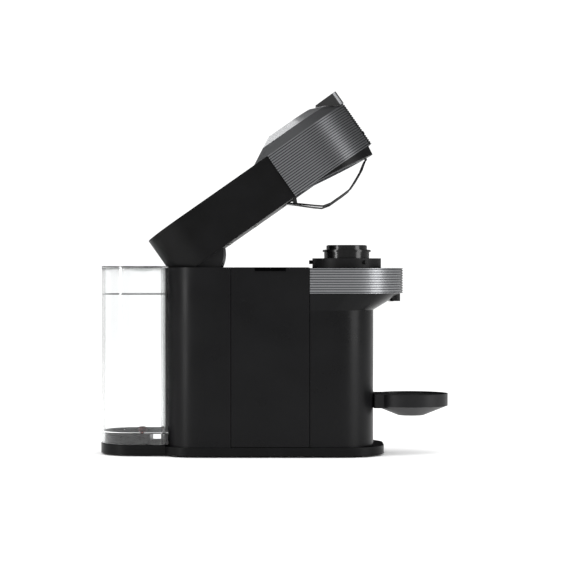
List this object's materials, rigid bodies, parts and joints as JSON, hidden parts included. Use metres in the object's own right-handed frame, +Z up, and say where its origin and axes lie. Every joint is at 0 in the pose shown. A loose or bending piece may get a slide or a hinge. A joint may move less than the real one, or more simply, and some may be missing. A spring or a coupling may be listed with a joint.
{
  "type": "pod coffee machine",
  "caption": "Slim upright pod coffee machine, hinged head raised, rear water tank, spinning capsule holder, side capsule container and sliding cup support.",
  "frame": {"origin": "on the table plane, midway between the water tank's back and the cup support's front, on the machine's centre plane", "axes": "+X towards the cup support, +Y to the machine's left, +Z up"},
  "size_m": [0.429, 0.142, 0.4477],
  "materials": {
    "gloss_black": "smooth gloss moulding",
    "satin_black": "fine satin moulding",
    "base_black": "satin moulding with a soft sheen",
    "ribbed_grey": "fine ribbed metallic grey",
    "dark_ribbed": "ribbed dark moulding",
    "top_silver": "smooth satin metallic",
    "chrome_trim": "polished plating",
    "clear_tank": "smoked clear plastic",
    "hard_black": "dense black moulding",
    "holder_gloss": "polished black",
    "rubber_black": "soft rubber",
    "valve_red": "red silicone",
    "hose_clear": "translucent silicone",
    "steel": "brushed stainless wire",
    "black_wire": "black plated wire",
    "needle_steel": "polished steel",
    "cast_alloy": "cast aluminium",
    "zinc_steel": "zinc plated steel",
    "board_green": "circuit board with dark parts",
    "frame_grey": "glass filled nylon",
    "motor_can": "pressed motor can",
    "lens_smoke": "smoked lens",
    "light_button": "translucent button"
  },
  "bodies": {
    "chassis": {"base_plate": "base_black", "bottom_cover": "satin_black", "rubber_feet": "rubber_black", "tank_plinth": "base_black", "dock_socket": "hard_black", "socket_seal": "rubber_black", "rear_casing": "gloss_black", "rear_bulkhead": "hard_black", "rear_deck": "satin_black", "column_casing": "gloss_black", "column_bulkhead": "hard_black", "ribbed_band": "ribbed_grey", "band_front_insert": "dark_ribbed", "front_deck": "satin_black", "coffee_spout": "hard_black", "bayonet_collar": "hard_black", "brew_chamber_bowl": "hard_black", "shaft_bearing": "zinc_steel", "spin_motor": "motor_can", "motor_bracket": "frame_grey", "hinge_ear_right": "cast_alloy", "hinge_ear_left": "cast_alloy", "hinge_pin": "zinc_steel", "hinge_shelf": "frame_grey", "water_pump": "motor_can", "pump_mounts": "rubber_black", "pump_cradle": "frame_grey", "thermoblock": "cast_alloy", "control_board": "board_green", "pump_hose": "hose_clear", "power_inlet": "rubber_black"},
    "head": {"arm_casing": "satin_black", "arm_underside": "hard_black", "ribbed_head_cover": "ribbed_grey", "head_front_insert": "dark_ribbed", "top_panel": "top_silver", "button_ring": "chrome_trim", "status_lens": "lens_smoke", "head_frame": "frame_grey", "head_water_hose": "hose_clear", "arm_screws": "zinc_steel"},
    "brew_unit": {"brew_unit_housing": "hard_black", "chamber_gasket": "rubber_black", "code_reader_window": "lens_smoke", "ejector_hoop": "black_wire"},
    "lock_ring": {"locking_ring": "frame_grey"},
    "piercing_head": {"piercing_plate": "needle_steel"},
    "lock_lever": {"lever": "holder_gloss", "lever_cap": "top_silver"},
    "brew_button": {"brew_button": "light_button"},
    "capsule_spinner": {"capsule_holder": "holder_gloss", "holder_sleeve": "holder_gloss", "rotor_shaft": "zinc_steel"},
    "capsule_container": {"capsule_container": "gloss_black"},
    "water_tank": {"water_tank": "clear_tank"},
    "tank_valve": {"tank_valve": "valve_red"},
    "tank_lid": {"tank_lid": "clear_tank"},
    "cup_support": {"cup_support": "satin_black"},
    "drip_grid": {"drip_grid": "steel"}
  },
  "joints": [
    {"name": "head_hinge", "type": "hinge", "parent": "chassis", "child": "head", "pos_m": [-0.1002, 0, 0.2465], "axis": [0, 1, 0], "range_deg": [0, 35]},
    {"name": "brew_unit_tilt", "type": "hinge", "parent": "head", "child": "brew_unit", "pos_m": [0.04057, 0, 0.33714], "axis": [0, -1, 0], "range_deg": [0, 8.6]},
    {"name": "lock_ring_turn", "type": "hinge", "parent": "brew_unit", "child": "lock_ring", "pos_m": [0.06326, 0, 0.34114], "axis": [-0.4446, 0, 0.8957], "range_deg": [0, 30]},
    {"name": "piercing_head_spin", "type": "hinge", "parent": "brew_unit", "child": "piercing_head", "pos_m": [0.06326, 0, 0.34114], "axis": [-0.4446, 0, 0.8957], "continuous": true},
    {"name": "lever_turn", "type": "hinge", "parent": "head", "child": "lock_lever", "pos_m": [0.02942, 0, 0.39159], "axis": [-0.5736, 0, 0.8192], "range_deg": [0, 30]},
    {"name": "button_press", "type": "slide", "parent": "head", "child": "brew_button", "axis": [0.5736, 0, -0.8192], "range_m": [0, 0.0018], "stiffness_N_per_m": 600, "springref_m": -0.001},
    {"name": "capsule_spin", "type": "hinge", "parent": "chassis", "child": "capsule_spinner", "pos_m": [0.0892, 0, 0.2415], "axis": [0, 0, 1], "continuous": true},
    {"name": "container_pull", "type": "slide", "parent": "chassis", "child": "capsule_container", "axis": [0, -1, 0], "range_m": [0, 0.15]},
    {"name": "tank_lift", "type": "slide", "parent": "chassis", "child": "water_tank", "axis": [-0.5736, 0, 0.8192], "range_m": [0, 0.12]},
    {"name": "tank_valve_lift", "type": "slide", "parent": "water_tank", "child": "tank_valve", "axis": [0, 0, 1], "range_m": [0, 0.0024], "stiffness_N_per_m": 60, "springref_m": -0.002},
    {"name": "lid_lift", "type": "slide", "parent": "water_tank", "child": "tank_lid", "axis": [-0.5736, 0, 0.8192], "range_m": [0, 0.05]},
    {"name": "support_slide", "type": "slide", "parent": "chassis", "child": "cup_support", "axis": [0, 0, 1], "range_m": [-0.033, 0.05]},
    {"name": "grid_lift", "type": "slide", "parent": "cup_support", "child": "drip_grid", "axis": [0, 0, 1], "range_m": [0, 0.025]}
  ],
  "couplings": [
    {"joint": "brew_unit_tilt", "follows": "head_hinge", "ratio": 0.24571},
    {"joint": "lock_ring_turn", "follows": "lever_turn", "ratio": 1}
  ]
}
